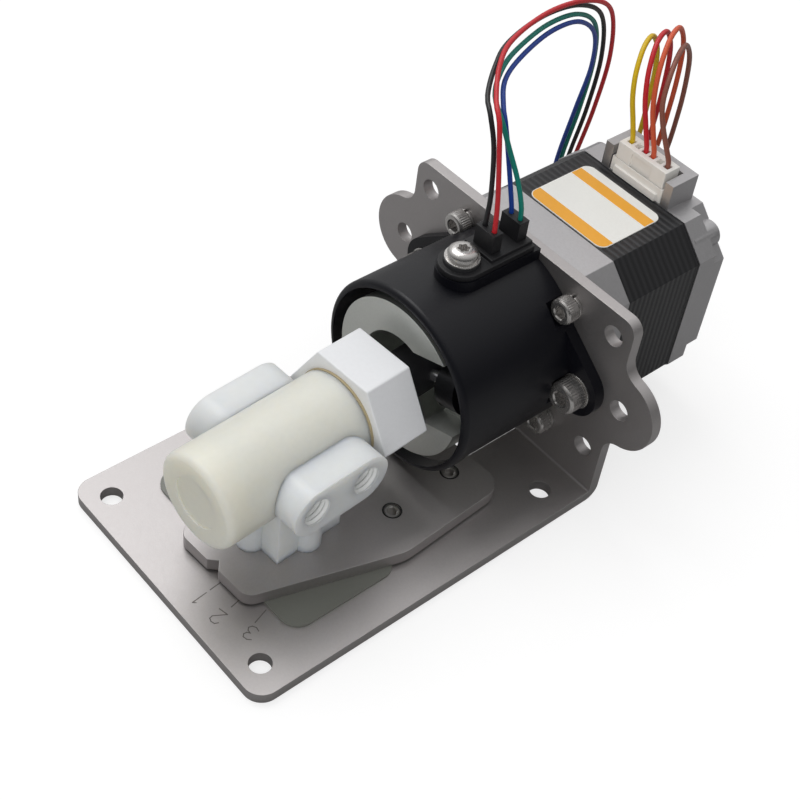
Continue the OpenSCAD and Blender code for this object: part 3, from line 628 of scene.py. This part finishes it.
@dataclass
class Assembly:
    """A sub-assembly: CAD nodes with a finish, copies of others with rounded edges, and its own pieces."""

    frame: dict
    plain: dict[str, Finish] = field(default_factory=dict)
    edged: dict[str, tuple[Finish, float]] = field(default_factory=dict)

    def build(self) -> list[bpy.types.Object]:
        """Builds and dresses the sub-assembly.

        Returns:
            Its visible pieces, in the order they are made.
        """
        dressed = [self.dress(node, finish) for node, finish in self.plain.items()]
        rounded = [self.round_edges(node, finish, width) for node, (finish, width) in self.edged.items()]
        return dressed + rounded + self.details()

    def details(self) -> list[bpy.types.Object]:
        """Builds the pieces that only this sub-assembly has."""
        return []

    def dress(self, node: str, finish: Finish) -> bpy.types.Object:
        """Gives a CAD node its finish.

        Args:
            node: The CAD node.
            finish: Its material.

        Returns:
            The node's object.
        """
        obj = self.frame["nodes"][node]
        obj.data.materials.clear()
        obj.data.materials.append(finish.build())
        return obj

    def round_edges(self, node: str, finish: Finish, width: float) -> bpy.types.Object:
        """Makes a piece of the node's shape with its sharp edges rounded, and lets it stand for the node.

        Args:
            node: The CAD node.
            finish: Its material.
            width: Width of the rounding, in millimetres.

        Returns:
            The new piece.
        """
        shape = Shape()
        bm = shape.bm
        bm.from_mesh(self.frame["nodes"][node].data)
        bmesh.ops.scale(bm, vec=(1 / MM, 1 / MM, 1 / MM), verts=bm.verts)
        bmesh.ops.remove_doubles(bm, verts=bm.verts, dist=MERGE_DIST)
        bmesh.ops.dissolve_limit(bm, angle_limit=math.radians(FLAT_DEG), verts=bm.verts, edges=bm.edges)
        limit = math.radians(SHARP_DEG)
        sharp = [e for e in bm.edges if len(e.link_faces) == 2 and e.calc_face_angle() > limit]
        bmesh.ops.bevel(
            bm, geom=sharp, offset=width, segments=ROUND_STEPS, profile=0.5, affect="EDGES", material=-1,
            clamp_overlap=True,
        )
        body = Body(body_of(self.frame["nodes"][node])[0])
        obj = shape.piece(node + "_piece", finish, body, (node,))
        weighted = obj.modifiers.new("even shading", "WEIGHTED_NORMAL")
        weighted.keep_sharp = True
        return obj


@dataclass
class Bracket(Assembly):
    """The bent sheet, its pivot and the engraved scale."""

    plain: dict[str, Finish] = field(
        default_factory=lambda: {"slide_sheet": SLIDE, "pivot_pin": SCREW, "pivot_washer": SLIDE}
    )
    edged: dict[str, tuple[Finish, float]] = field(default_factory=lambda: {"bracket": (BRACKET, 0.25)})
    sheet_top: float = 2.5
    mark_step_deg: float = 6.0
    mark_ends: Spot = (-54.1, -50.4)
    mark_half: float = 0.12
    stroke_end: float = 0.1
    stroke_half: float = 0.11
    numerals: dict[int, tuple[Spot, list[list[Spot]]]] = field(default_factory=lambda: {
        1: ((-56.7, 0.0), [[(-0.5, 1.25), (0.0, 1.7), (0.0, -1.7)]]),
        2: ((-57.4, 0.4), [
            [(-1.0, 0.9), (-0.6, 1.5), (0.2, 1.6), (0.9, 1.2), (0.9, 0.5), (-1.0, -1.6), (1.0, -1.6)],
        ]),
        3: ((-56.4, -0.65), [
            [(-1.0, 1.2), (-0.3, 1.6), (0.6, 1.5), (0.9, 0.9), (0.6, 0.3), (0.0, 0.1)],
            [(0.0, 0.1), (0.7, -0.2), (1.0, -0.8), (0.6, -1.4), (-0.2, -1.6), (-1.0, -1.2)],
        ]),
    })

    def details(self) -> list[bpy.types.Object]:
        """Engraves three marks with plain numbers round the pivot.

        Returns:
            The marks as one piece.
        """
        shape = Shape()
        near, far = self.mark_ends
        for number, (place, lines) in self.numerals.items():
            turn = at(PIVOT_X, 0, self.sheet_top) @ turned(self.mark_step_deg * number, "Z")
            shape.plate((near, -self.mark_half, 0.0), (far, self.mark_half, INK), turn)
            numeral = turn @ at(*place, 0) @ turned(90, "Z")
            for line in lines:
                for start, end in zip(line, line[1:]):
                    self.stroke(shape, Vector(start), Vector(end), numeral)
        return [shape.piece("scale_marks", MARK, Body.BASE)]

    def stroke(self, shape: Shape, start: Vector, end: Vector, matrix: Matrix) -> None:
        """Adds one straight stroke of a number.

        Args:
            shape: The shape it joins.
            start: Its start, in the plane of the number.
            end: Its end.
            matrix: Where the number stands.
        """
        course = (end - start).normalized()
        along = course * self.stroke_end
        across = Vector((-course.y, course.x)) * self.stroke_half
        corners = (start - along - across, end + along - across, end + along + across, start - along + across)
        shape.prism([tuple(c) for c in corners], 0.0, INK, matrix)


@dataclass
class Head(Assembly):
    """The pump head on its swivel plate, with its lock screws and the threads in the ports."""

    plain: dict[str, Finish] = field(default_factory=lambda: {
        "ceramic_liner": CERAMIC, "head_gasket": GASKET, "piston_seal": SEAL, "foot_screws": SCREW,
    })
    edged: dict[str, tuple[Finish, float]] = field(default_factory=lambda: {
        "swivel_plate": (BRACKET, 0.25), "head_foot": (PORT, 0.4), "pump_head": (HEAD, 0.3),
        "gland_nut": (NUT, 0.3), "port_block_left": (PORT, 0.7), "port_block_right": (PORT, 0.7),
        "piston": (CERAMIC, 0.1), "piston_cap": (CAP, 0.3), "drive_pin": (PIN, 0.2),
    })
    plate_top: float = 6.0
    lock_x: Spot = (-15.75, 0.55)
    lock_y: float = 12.0
    lock_screw: GrubScrew = GrubScrew(shank_r=1.73, shank_l=2.9, key=1.8)
    # Inner and outer radius of the painted shade ring over the gap round each lock screw.
    gap_shade_r: Spot = (1.74, 2.05)
    port_x: Spot = (28.6, 40.6)
    port_face_y: float = 15.4
    thread: Thread = Thread()

    @staticmethod
    def local() -> Matrix:
        """The frame of the swivel plate: origin on the pivot at pump height, the head toward -X."""
        return at(PIVOT_X, 0, PUMP_Z) @ turned(SWIVEL_DEG, "Z")

    def details(self) -> list[bpy.types.Object]:
        """Makes the lock screws with a painted shade ring over the gap round each, and the threads of the
        ports.

        Returns:
            The pieces.
        """
        return self.lock_screws() + [self.threads(-1, "left"), self.threads(1, "right")]

    def lock_screws(self) -> list[bpy.types.Object]:
        """Makes the four flush screws, and round each a thin dark ring that paints the shade in the gap
        between screw and hole.

        Returns:
            The screws and the gaps, one piece each.
        """
        screws, shade_rings = Shape(), Shape()
        inner, outer = self.gap_shade_r
        for x in self.lock_x:
            for y in (-self.lock_y, self.lock_y):
                place = self.local() @ at(x, y, self.plate_top - PUMP_Z) @ UPWARD
                screws.loft(self.lock_screw.rings(), place)
                # A thin dark ring over the gap: painted shade.
                shade_rings.lathe([(0.0, inner), (INK, inner), (INK, outer), (0.0, outer)], place)
        return [
            screws.piece("lock_screws_piece", GRUB, Body.SWIVEL, ("lock_screws",), SHARP_DEG),
            shade_rings.piece("lock_screw_gap_shade", GAP_SHADE, Body.SWIVEL),
        ]

    def threads(self, side: int, word: str) -> bpy.types.Object:
        """Cuts the threads of one port block, in a lighter copy of the port plastic that paints in the light
        the milky plastic lets into the holes.

        Args:
            side: -1 for -Y, 1 for +Y.
            word: The side's word in the piece's name.

        Returns:
            The two threads as one piece.
        """
        shape = Shape()
        for station in self.port_x:
            mouth = self.local() @ at(-station, side * self.port_face_y, 0) @ turned(-90 * side, "Z")
            shape.lathe(self.thread.section(), mouth)
        # The threads take the lighter copy of the port plastic: painted light in the holes.
        return shape.piece(f"port_threads_{word}", BORE_LIT, Body.SWIVEL)


@dataclass
class Drive(Assembly):
    """The drive cup on the motor's shaft, and its spherical bearing."""

    plain: dict[str, Finish] = field(
        default_factory=lambda: {"cup_set_screw": GRUB, "motor_rotor": ROTOR, "motor_shaft": PIN}
    )
    edged: dict[str, tuple[Finish, float]] = field(
        default_factory=lambda: {
            "drive_cup": (CUP, 0.3), "bearing_race": (BEARING, 0.2), "bearing_ball": (PIN, 0.1),
        }
    )


@dataclass
class Cover(Assembly):
    """The black cover with its sensor."""

    edged: dict[str, tuple[Finish, float]] = field(default_factory=lambda: {
        "cover": (COVER, 0.25), "cover_washers": (SCREW, 0.08), "sensor_body": (SENSOR, 0.2),
        "sensor_washer": (SCREW, 0.08), "sensor_plug_front": (SENSOR, 0.1), "sensor_plug_rear": (SENSOR, 0.1),
    })
    cover_screw: Screw = Screw(shank_r=2.0, shank_l=5.0, key=3.0, head_r=3.5, head_h=4.0)
    cover_screw_at: Point = (41.3, 22.7, 27.0)
    sensor_screw: Screw = DomeScrew(shank_r=1.5, shank_l=5.2, key=2.1, head_r=3.0, head_h=1.9)
    sensor_screw_at: Point = (27.3, 0.0, 52.6)
    dome_deg: float = 40.0

    def details(self) -> list[bpy.types.Object]:
        """Makes the screws of the cover and of the sensor.

        Returns:
            The pieces.
        """
        pair, single = Shape(), Shape()
        x, y, z = self.cover_screw_at
        for side in (-y, y):
            pair.loft(self.cover_screw.rings(), at(x, side, z) @ FORWARD)
        single.loft(self.sensor_screw.rings(), at(*self.sensor_screw_at) @ UPWARD)
        return [
            pair.piece("cover_screws_piece", SCREW, Body.BASE, ("cover_screws",), SHARP_DEG),
            single.piece("sensor_screw_piece", SCREW, Body.BASE, ("sensor_screw",), self.dome_deg),
        ]


@dataclass
class Motor(Assembly):
    """The stepper motor with its screws, label and plug."""

    plain: dict[str, Finish] = field(default_factory=lambda: {
        "motor_windings": COPPER, "front_bearing": BEARING, "rear_bearing": BEARING, "motor_label": LABEL,
        "case_screws": SCREW,
    })
    edged: dict[str, tuple[Finish, float]] = field(default_factory=lambda: {
        "motor_front_bell": (BELL, 0.3), "motor_stack": (STACK, 0.1), "motor_rear_bell": (BELL, 0.5),
        "spring_washers": (SCREW, 0.08), "motor_socket": (PLUG, 0.15), "motor_plug": (PLUG, 0.15),
    })
    screw: Screw = Screw(shank_r=1.5, shank_l=7.2, key=2.5, head_r=2.75, head_h=3.0)
    screw_x: float = 43.3
    screw_y: float = 15.5
    screw_z: Spot = (12.0, 43.0)
    label_top: float = 48.2
    band_t: float = 0.025
    band_half: float = 10.45
    front_band: Spot = (55.85, 59.1)
    rear_band: Spot = (68.3, 71.2)
    band_corner_r: float = 1.9
    corner_step_deg: int = 15

    def details(self) -> list[bpy.types.Object]:
        """Makes the screws of the motor, and prints two plain bands on its label.

        Returns:
            The pieces.
        """
        screws = Shape()
        for y in (-self.screw_y, self.screw_y):
            for z in self.screw_z:
                screws.loft(self.screw.rings(), at(self.screw_x, y, z) @ FORWARD)
        return [
            screws.piece("motor_screws_piece", SCREW, Body.BASE, ("motor_screws",), SHARP_DEG),
            self.bands(),
        ]

    def bands(self) -> bpy.types.Object:
        """Prints the two bands, the front one with the label's rounded corners.

        Returns:
            The bands as one piece.
        """
        front, rear = self.front_band
        half, r = self.band_half, self.band_corner_r
        low, high = self.label_top, self.label_top + self.band_t
        turns = [math.radians(a) for a in range(0, 91, self.corner_step_deg)]
        corner = [(front + r - r * math.cos(a), half - r + r * math.sin(a)) for a in turns]
        outline = [(rear, -half)] + [(x, -y) for x, y in reversed(corner)] + corner + [(rear, half)]
        shape = Shape().prism(outline, low, high)
        shape.plate((self.rear_band[0], -half, low), (self.rear_band[1], half, high))
        return shape.piece("label_bands", BAND, Body.BASE)


@dataclass(frozen=True)
class Lead:
    """One insulated lead: its seen route, its way to the floor and its turns in the coil."""

    node: str
    finish: Finish
    radius: float
    route: tuple[Point, ...]


@dataclass(frozen=True)
class Harness:
    """A bundle of leads that ends in one round coil on the floor, each lead on its own radius."""

    coil_node: str
    coil: Spot
    diameter: float
    start_deg: float
    leads: tuple[Lead, ...]
    turns: int = 4
    turn_gap: float = 1.03
    turn_points: int = 28
    landing_points: int = 8
    landing_rad: float = 1.1
    landing_lift: float = 7.5
    spacing: float = 1.2
    round_steps: int = 3

    def build(self) -> list[bpy.types.Object]:
        """Makes the leads. The outermost one stands for the coil's node too.

        Returns:
            The leads' curves.
        """
        outer = max(self.leads, key=lambda lead: lead.radius)
        made = []
        for lead in self.leads:
            made.append(self.cord(lead, (lead.node, self.coil_node) if lead is outer else (lead.node,)))
        return made

    def ring(self, lead: Lead, angle: float, z: float) -> Vector:
        """A point on the lead's own circle in the coil.

        Args:
            lead: The lead.
            angle: Its turn about the coil's middle, in radians.
            z: Its height.

        Returns:
            The point.
        """
        x, y = self.coil
        return Vector((x + math.cos(angle) * lead.radius, y + math.sin(angle) * lead.radius, z))

    def points(self, lead: Lead) -> list[Vector]:
        """The centreline of a lead in millimetres.

        Args:
            lead: The lead.

        Returns:
            The points in order, close together.
        """
        pitch = self.diameter * self.turn_gap
        top = self.diameter / 2 + pitch * self.turns
        start = math.radians(self.start_deg)
        landing = []
        for step in range(self.landing_points + 1):
            left = 1 - step / self.landing_points
            angle, height = start - self.landing_rad * left, top + self.landing_lift * left**2
            landing.append(self.ring(lead, angle, height))
        steps = [k / self.turn_points for k in range(1, self.turns * self.turn_points)]
        wound = [self.ring(lead, start + math.tau * s, top - pitch * s) for s in steps]
        return self.spline([Vector(p) for p in lead.route] + [landing[0]]) + landing[1:] + wound

    def spline(self, points: list[Vector]) -> list[Vector]:
        """A smooth line through the points.

        Args:
            points: The points that it passes.

        Returns:
            Points every millimetre or so.
        """
        full = [points[0] * 2 - points[1]] + points + [points[-1] * 2 - points[-2]]
        out = []
        for i in range(1, len(full) - 2):
            a, b, c, d = full[i - 1 : i + 3]
            count = max(3, int((c - b).length / self.spacing))
            for t in (k / count for k in range(count)):
                square, cube = 2 * a - 5 * b + 4 * c - d, 3 * b - a - 3 * c + d
                out.append(0.5 * (2 * b + (c - a) * t + square * t**2 + cube * t**3))
        return out + [points[-1]]

    def cord(self, lead: Lead, stands_for: tuple[str, ...]) -> bpy.types.Object:
        """Args:
            lead: The lead.
            stands_for: The CAD nodes that it replaces.

        Returns:
            The curve object.
        """
        name = lead.node + "_piece"
        points = [p * MM for p in self.points(lead)]
        curve = bpy.data.curves.new(name, "CURVE")
        curve.dimensions = "3D"
        curve.bevel_depth = self.diameter * MM / 2
        curve.bevel_resolution = self.round_steps
        curve.use_fill_caps = True
        line = curve.splines.new("POLY")
        line.points.add(len(points) - 1)
        for spot, point in zip(line.points, points):
            spot.co = (*point, 1.0)
        curve.materials.append(lead.finish.build())
        obj = bpy.data.objects.new(name, curve)
        bpy.context.scene.collection.objects.link(obj)
        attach(obj, Body.BASE.value)
        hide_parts(*stands_for)
        return obj


SENSOR_LEADS = Harness("sensor_lead_coil", (104.0, 34.0), 1.0, 205.0, (
    Lead("lead_black", BLACK, 5.5, (
        (33.6, 1.27, 54.6), (33.6, 1.27, 57), (33.8, 1.4, 63.4), (34.2, 3.1, 72.8), (35, 6, 78),
        (37.6, 9.8, 79), (43, 14, 80.9), (50, 17.8, 81.8), (63.6, 21.8, 80.9), (76.8, 24.2, 77.7),
        (87.4, 26.4, 70.6), (94.4, 29.4, 56.4), (97.4, 32.4, 40), (98.4, 35.2, 25),
    )),
    Lead("lead_red", RED, 4.45, (
        (33.6, -1.27, 54.6), (33.6, -1.27, 57), (33.8, -0.6, 62.6), (34, 0.9, 70), (34.8, 3.4, 78),
        (37, 7, 79.8), (42.4, 12.4, 82.2), (49.6, 16.6, 83.1), (63.6, 20.8, 82.2), (77.6, 23.2, 79),
        (88.8, 25.4, 72), (96, 28.4, 57), (98.7, 31.4, 40), (99.5, 34.2, 25),
    )),
    Lead("lead_blue", BLUE, 7.6, (
        (40.4, 1.27, 54.6), (40.4, 1.27, 57), (40.2, 2.8, 62.8), (39.6, 4.6, 70.4), (39.2, 5.8, 75),
        (40.6, 8.2, 76.6), (44.6, 12.4, 78.2), (52, 16, 78.6), (64, 20, 78), (75.4, 22.6, 75.2),
        (85, 25.4, 67.6), (91.6, 29.4, 55), (94.8, 33.6, 40), (96.2, 36.6, 25),
    )),
    Lead("lead_green", GREEN, 6.55, (
        (40.4, -1.27, 54.6), (40.4, -1.27, 57), (40.2, -0.9, 60), (39.8, 0.8, 64.8), (38.8, 3.3, 70.6),
        (38, 5.4, 75.5), (39.6, 9.8, 78.3), (44.4, 13.6, 79.5), (51.4, 17, 79.8), (64, 21, 79.1),
        (76, 23.6, 76.2), (86, 26.4, 68.8), (92.8, 30, 55.6), (96.1, 33.4, 40), (97.3, 36.2, 25),
    )),
))
MOTOR_LEADS = Harness("motor_lead_coil", (99.0, 12.0), 1.1, 150.0, (
    Lead("lead_yellow", YELLOW, 8.1, (
        (78.8, 5, 54), (78.8, 5.1, 56.4), (78.8, 6.3, 60.4), (79, 7.8, 64.6), (80.6, 9.6, 69),
        (84.6, 12, 72.4), (90, 14.2, 71.6), (95, 15.6, 64), (97.2, 16.4, 50), (97.4, 17, 34),
    )),
    Lead("lead_motor_red", RED, 6.95, (
        (78.8, 1, 54), (78.8, 1.2, 56.4), (78.8, 2.8, 60.8), (79, 4.6, 65.6), (80.8, 6.8, 70.6),
        (85.2, 9.6, 74.4), (91.2, 12, 73.4), (96.4, 13.6, 65.4), (98.8, 14.6, 51), (98.8, 15.4, 34),
    )),
    Lead("lead_orange", ORANGE, 5.8, (
        (78.8, -1, 54), (78.8, -0.9, 56.4), (78.8, 0.6, 60.4), (78.9, 2.4, 66), (81.4, 4.8, 72),
        (86.4, 7.6, 76), (92.4, 10, 75), (98, 11.8, 66.8), (100.4, 12.8, 52), (100.2, 13.8, 34),
    )),
    Lead("lead_brown", BROWN, 4.65, (
        (78.8, -5, 54), (78.8, -4.9, 56.4), (78.8, -3.5, 59), (78.8, -1.2, 63.2), (79.4, 0.6, 67),
        (82, 2.4, 71), (86.8, 5, 73.4), (92.6, 7.6, 72.2), (98.6, 9.8, 64.4), (101.6, 11, 50),
        (101.6, 12.2, 34),
    )),
))


@dataclass(frozen=True)
class Light:
    """A soft square light, in metres and watts."""

    name: str
    place: Point
    size: float
    power: float
    glints: bool = True

    def build(self, target: Vector) -> None:
        """Adds the light.

        Args:
            target: What it faces.
        """
        data = bpy.data.lights.new(self.name, "AREA")
        data.size, data.energy = self.size, self.power
        obj = bpy.data.objects.new(self.name, data)
        obj.location = self.place
        obj.visible_glossy = self.glints
        obj.rotation_euler = (target - Vector(self.place)).to_track_quat("-Z", "Y").to_euler()
        bpy.context.scene.collection.objects.link(obj)


@dataclass(frozen=True)
class Studio:
    """The camera fitted to the photo, soft light, a white backdrop and a plain white floor."""

    azimuth: float = -46.622
    elevation: float = 45.582
    roll: float = 8.551
    aim: Point = (0.0, 0.0, 30.0)
    offset: Point = (-11.243, 0.284, 287.224)
    lens: float = 68.166
    sensor: float = 36.0
    clip: Spot = (0.01, 10.0)
    bright: Point = (0.32, 0.45, 0.83)
    bright_range: Spot = (-0.1, 0.95)
    room_range: Spot = (0.04, 1.0)
    floor_half: float = 3.0
    floor_grey: float = 0.36
    floor_roughness: float = 0.9
    floor_glow: float = 0.7
    lit: Point = (0.02, 0.0, 0.03)
    lights: tuple[Light, ...] = (
        Light("key", (0.05, 0.45, 0.85), 0.6, 3.0),
        Light("fill", (-0.60, -0.50, 0.40), 0.8, 3.1, glints=False),
    )

    def axes(self) -> tuple[Vector, Vector, Vector]:
        """Right, up and back of the camera.

        Returns:
            Three unit vectors in the row frame.
        """
        a, e, r = (math.radians(v) for v in (self.azimuth, self.elevation, self.roll))
        back = Vector((math.sin(a) * math.cos(e), -math.cos(a) * math.cos(e), math.sin(e)))
        right = Vector((math.cos(a), math.sin(a), 0))
        up = back.cross(right)
        return math.cos(r) * right + math.sin(r) * up, math.cos(r) * up - math.sin(r) * right, back

    def camera(self) -> None:
        """Makes the camera that took the photo."""
        right, up, back = self.axes()
        x, y, z = self.offset
        place = (Vector(self.aim) - x * right - y * up + z * back) * MM
        data = bpy.data.cameras.new("camera")
        data.lens, data.sensor_width = self.lens, self.sensor
        data.clip_start, data.clip_end = self.clip
        obj = bpy.data.objects.new("camera", data)
        obj.matrix_world = Matrix.Translation(place) @ Matrix((right, up, back)).transposed().to_4x4()
        bpy.context.scene.collection.objects.link(obj)
        bpy.context.scene.camera = obj

    def world(self) -> None:
        """A white backdrop for the camera, and a dim room with one bright side for everything else."""
        world = bpy.data.worlds.new("studio")
        world.use_nodes = True
        bpy.context.scene.world = world
        nodes, links = world.node_tree.nodes, world.node_tree.links
        nodes.clear()
        coords = nodes.new("ShaderNodeTexCoord")
        toward = nodes.new("ShaderNodeVectorMath")
        toward.operation = "DOT_PRODUCT"
        toward.inputs[1].default_value = Vector(self.bright).normalized()
        ramp = nodes.new("ShaderNodeMapRange")
        ramp.inputs["From Min"].default_value, ramp.inputs["From Max"].default_value = self.bright_range
        ramp.inputs["To Min"].default_value, ramp.inputs["To Max"].default_value = self.room_range
        room, white = nodes.new("ShaderNodeBackground"), nodes.new("ShaderNodeBackground")
        white.inputs["Color"].default_value = (1.0, 1.0, 1.0, 1.0)
        pick = nodes.new("ShaderNodeMixShader")
        path, out = nodes.new("ShaderNodeLightPath"), nodes.new("ShaderNodeOutputWorld")
        links.new(coords.outputs["Generated"], toward.inputs[0])
        links.new(toward.outputs["Value"], ramp.inputs["Value"])
        links.new(ramp.outputs["Result"], room.inputs["Strength"])
        links.new(path.outputs["Is Camera Ray"], pick.inputs["Fac"])
        links.new(room.outputs["Background"], pick.inputs[1])
        links.new(white.outputs["Background"], pick.inputs[2])
        links.new(pick.outputs["Shader"], out.inputs["Surface"])

    def floor_material(self) -> bpy.types.Material:
        """A matt grey that the camera sees lifted to white, so that a faint shadow stays.

        Returns:
            The material.
        """
        mat = bpy.data.materials.new("floor")
        mat.use_nodes = True
        nodes, links = mat.node_tree.nodes, mat.node_tree.links
        glow, lit = nodes.new("ShaderNodeEmission"), nodes.new("ShaderNodeAddShader")
        pick, path = nodes.new("ShaderNodeMixShader"), nodes.new("ShaderNodeLightPath")
        glow.inputs["Strength"].default_value = self.floor_glow
        shader = nodes["Principled BSDF"]
        shader.inputs["Base Color"].default_value = (*[self.floor_grey] * 3, 1)
        shader.inputs["Roughness"].default_value = self.floor_roughness
        links.new(shader.outputs["BSDF"], lit.inputs[0])
        links.new(glow.outputs["Emission"], lit.inputs[1])
        links.new(path.outputs["Is Camera Ray"], pick.inputs["Fac"])
        links.new(shader.outputs["BSDF"], pick.inputs[1])
        links.new(lit.outputs["Shader"], pick.inputs[2])
        links.new(pick.outputs["Shader"], nodes["Material Output"].inputs["Surface"])
        return mat

    def floor(self) -> None:
        """Lays the floor."""
        bm = bmesh.new()
        bmesh.ops.create_grid(bm, x_segments=1, y_segments=1, size=self.floor_half)
        mesh = bpy.data.meshes.new("floor")
        bm.to_mesh(mesh)
        bm.free()
        mesh.materials.append(self.floor_material())
        obj = bpy.data.objects.new("floor", mesh)
        bpy.context.scene.collection.objects.link(obj)

    def build(self) -> None:
        """Sets up the whole stage."""
        bpy.context.scene.view_settings.view_transform = "Standard"
        self.camera()
        self.world()
        self.floor()
        for light in self.lights:
            light.build(Vector(self.lit))


def main() -> None:
    """Builds the stage, the leads and the pump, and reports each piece."""
    logging.basicConfig(level=logging.INFO)
    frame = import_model()
    Studio().build()
    parts = [SENSOR_LEADS, MOTOR_LEADS] + [kind(frame) for kind in (Bracket, Head, Drive, Cover, Motor)]
    for part in parts:
        for piece in part.build():
            LOG.info("%s: %s", type(part).__name__, piece.name)


if __name__ == "__main__":
    main()
